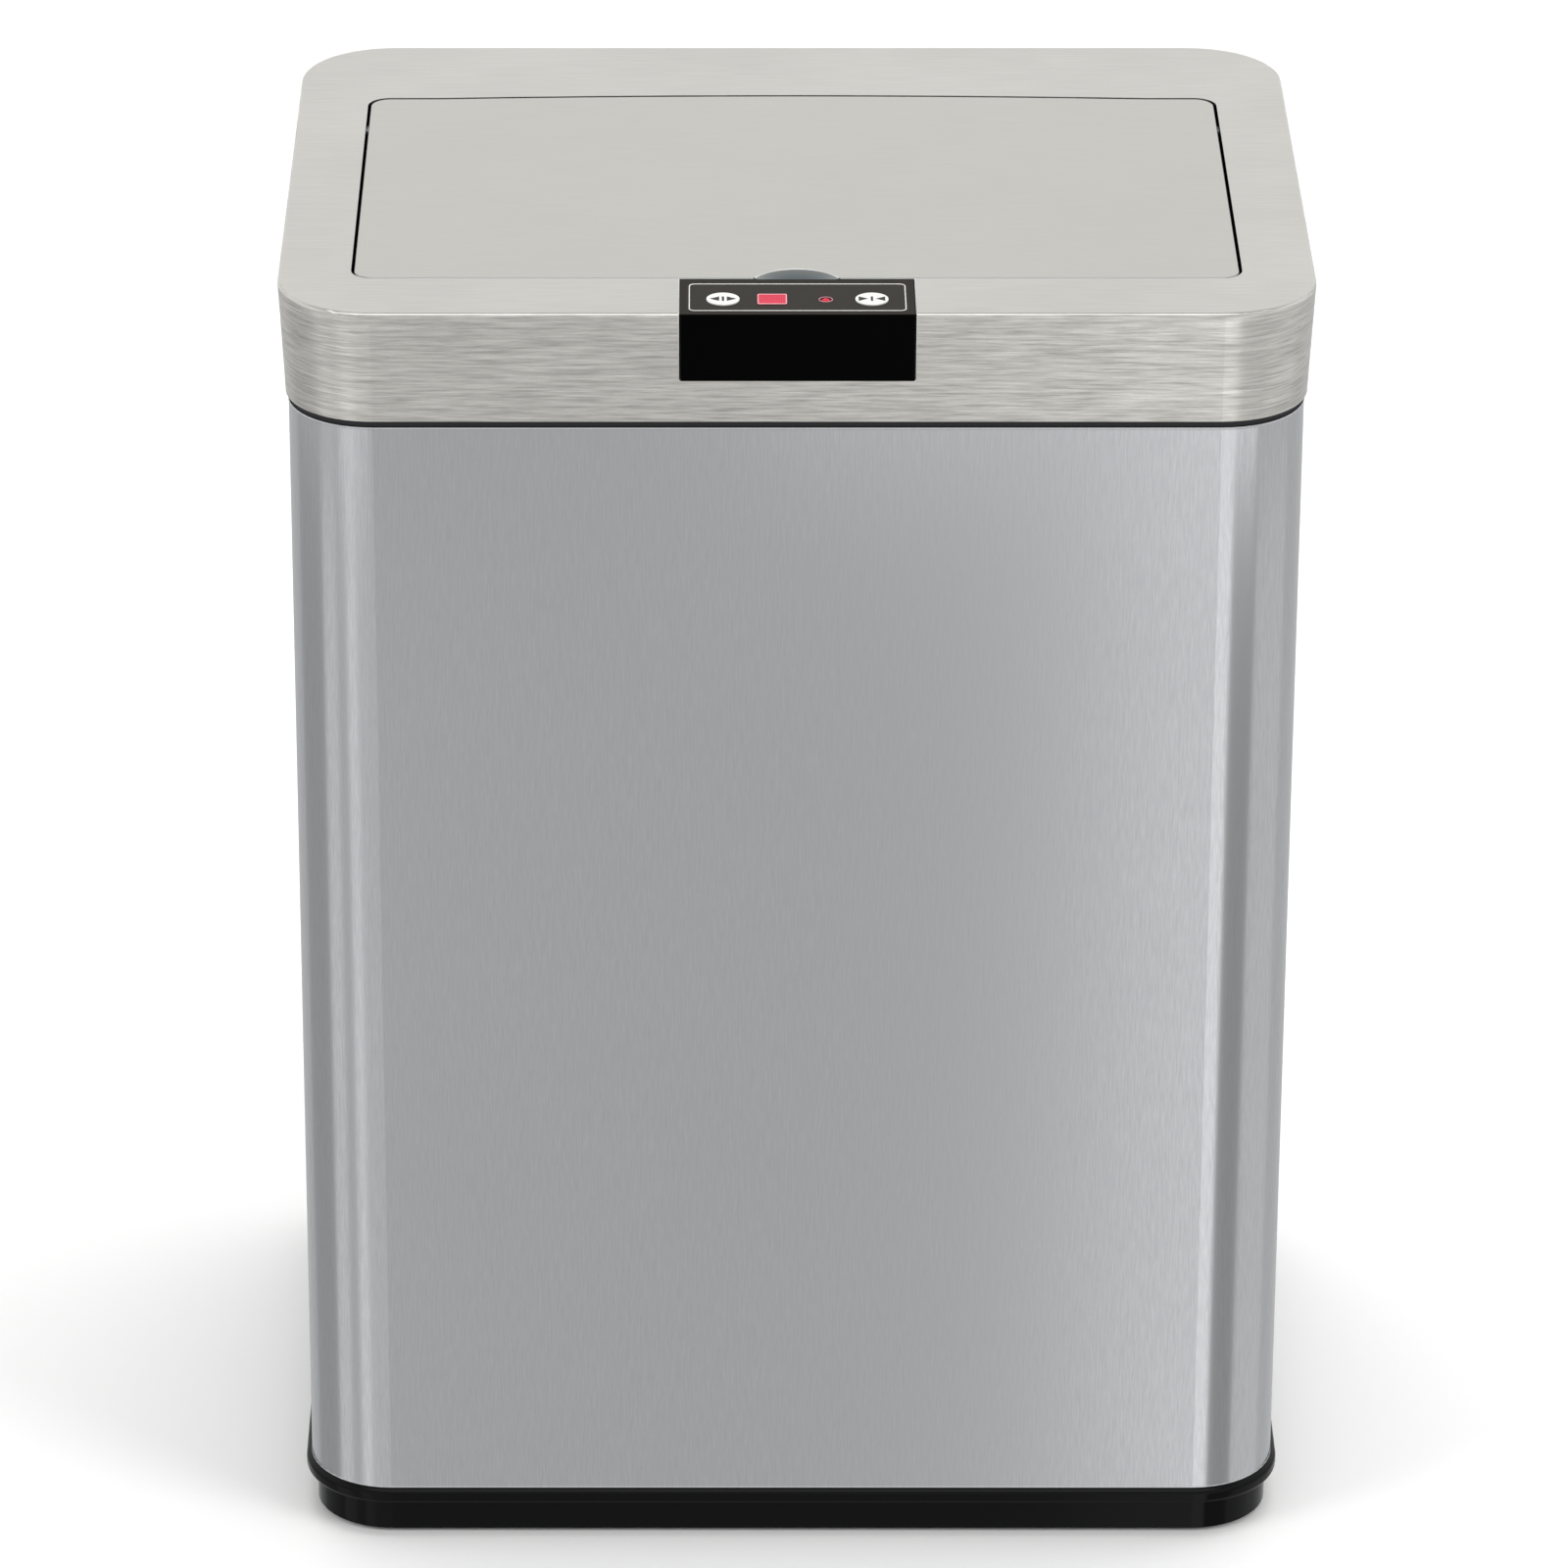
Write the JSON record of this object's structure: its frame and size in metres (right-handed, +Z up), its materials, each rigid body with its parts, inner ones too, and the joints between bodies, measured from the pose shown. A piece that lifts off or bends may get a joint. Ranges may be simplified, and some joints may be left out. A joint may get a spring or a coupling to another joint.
{
  "type": "automatic trash can",
  "caption": "Rectangular steel waste bin with a lift-off head, a powered top-hinged lid, a sensor module with push buttons, and a battery drive.",
  "frame": {"origin": "on the floor under the middle of the bin", "axes": "+Z up, the sensor side faces -Y, +X to the right seen from the front"},
  "size_m": [0.4098, 0.3056, 0.5504],
  "materials": {
    "brushed_steel": "satin brushed, horizontal on the rim, vertical on the shell",
    "gloss_black": "high gloss moulded black",
    "matte_black": "fine matt moulded black",
    "black_rubber": "matt black rubber",
    "label_grey": "satin dark grey film with a pale border line",
    "board_green": "green solder mask",
    "dark_lens": "dark clear epoxy",
    "red_window": "clear red, glossy",
    "red_light": "diffused red",
    "white_cap": "satin white",
    "white_acetal": "natural white acetal",
    "brass_pinion": "machined",
    "plated_steel": "zinc plated",
    "cell_wrap": "plain printed film"
  },
  "bodies": {
    "bin": {"body_shell": "brushed_steel", "base_tray": "gloss_black", "rubber_feet": "black_rubber", "foot_screws": "plated_steel", "top_collar": "matte_black", "bag_ring": "matte_black"},
    "head": {"head_cover": "brushed_steel", "head_frame": "matte_black", "head_base": "matte_black", "frame_screws": "plated_steel", "lid_bumpers": "black_rubber", "sensor_housing": "gloss_black", "control_label": "label_grey", "control_board": "board_green", "tact_switches": "matte_black", "infrared_pair": "dark_lens", "sensor_window": "red_window", "status_light": "red_light", "sensor_screws": "plated_steel", "gearbox_case": "white_acetal", "gearbox_cover": "white_acetal", "gearbox_screws": "plated_steel", "gear_axles": "plated_steel", "drive_motor": "plated_steel", "battery_box": "matte_black", "battery_cells": "cell_wrap", "battery_contacts": "plated_steel", "door_rod": "plated_steel", "power_jack": "matte_black", "switch_body": "matte_black"},
    "lid": {"lid_skin": "brushed_steel", "lid_liner": "matte_black", "front_rails": "matte_black", "lid_pins": "plated_steel", "sector_gear": "white_acetal"},
    "first_gear": {"first_gear": "white_acetal"},
    "second_gear": {"second_gear": "white_acetal"},
    "motor_rotor": {"motor_pinion": "brass_pinion"},
    "open_button": {"open_button": "white_cap"},
    "close_button": {"close_button": "white_cap"},
    "battery_door": {"battery_door": "matte_black"},
    "power_rocker": {"power_rocker": "matte_black"}
  },
  "joints": [
    {"name": "head_lift", "type": "slide", "parent": "bin", "child": "head", "axis": [0, 0, 1], "range_m": [0, 0.12]},
    {"name": "lid_hinge", "type": "hinge", "parent": "head", "child": "lid", "pos_m": [0, 0.071, 0.542], "axis": [-1, 0, 0], "range_deg": [0, 80]},
    {"name": "first_gear_spin", "type": "hinge", "parent": "head", "child": "first_gear", "pos_m": [0.187, 0.071, 0.5205], "axis": [-1, 0, 0], "range_deg": [-210, 3]},
    {"name": "second_gear_spin", "type": "hinge", "parent": "head", "child": "second_gear", "pos_m": [0.19, 0.0878, 0.5205], "axis": [-1, 0, 0], "range_deg": [-8, 520]},
    {"name": "motor_spin", "type": "hinge", "parent": "head", "child": "motor_rotor", "pos_m": [0.19, 0.1046, 0.5205], "axis": [-1, 0, 0], "range_deg": [-1560, 24]},
    {"name": "open_button_press", "type": "slide", "parent": "head", "child": "open_button", "axis": [0, 0, -1], "range_m": [0, 0.0005], "stiffness_N_per_m": 900},
    {"name": "close_button_press", "type": "slide", "parent": "head", "child": "close_button", "axis": [0, 0, -1], "range_m": [0, 0.0005], "stiffness_N_per_m": 900},
    {"name": "battery_door_hinge", "type": "hinge", "parent": "head", "child": "battery_door", "pos_m": [0, 0.1502, 0.5419], "axis": [1, 0, 0], "range_deg": [0, 85]},
    {"name": "power_rocker_tilt", "type": "hinge", "parent": "head", "child": "power_rocker", "pos_m": [-0.147, 0.1511, 0.52675], "axis": [1, 0, 0], "range_deg": [-8, 8]}
  ],
  "couplings": [
    {"joint": "first_gear_spin", "follows": "lid_hinge", "ratio": -2.5833},
    {"joint": "second_gear_spin", "follows": "lid_hinge", "ratio": 6.4583},
    {"joint": "motor_spin", "follows": "lid_hinge", "ratio": -19.375}
  ]
}
